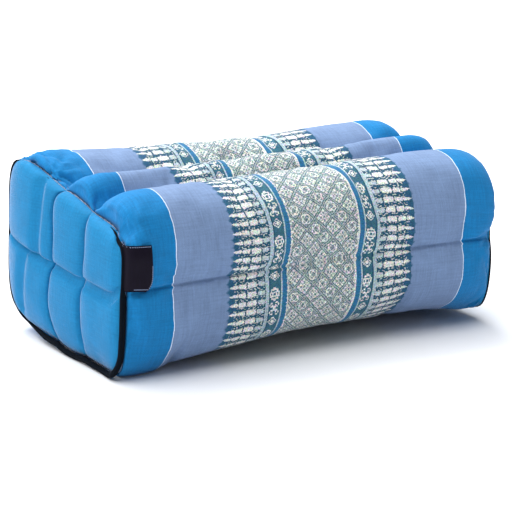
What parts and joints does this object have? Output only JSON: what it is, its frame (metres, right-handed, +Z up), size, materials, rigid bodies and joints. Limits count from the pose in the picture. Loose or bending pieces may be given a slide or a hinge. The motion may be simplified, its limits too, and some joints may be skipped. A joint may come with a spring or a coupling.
{
  "type": "block cushion",
  "caption": "Firm oblong block cushion of stuffed, sewn channels with quilted plain ends, a woven patterned wrap and thin dark edging.",
  "frame": {"origin": "middle of the footprint, on the floor", "axes": "+X along the stuffed channels to the end without the label, +Y from the labelled front to the back, +Z up"},
  "size_m": [0.3552, 0.1934, 0.1409],
  "materials": {
    "wrap": "matt woven cotton in blue and grey-blue bands with a cream and indigo brocade band",
    "end_cloth": "matt plain blue cotton",
    "edging": "matt black cotton tape",
    "label": "dark satin ribbon, plain"
  },
  "bodies": {
    "root": {"cushion": "wrap", "end_panel_left": "end_cloth", "end_panel_right": "end_cloth", "piping_left": "edging", "piping_right": "edging", "label": "label"}
  },
  "joints": []
}
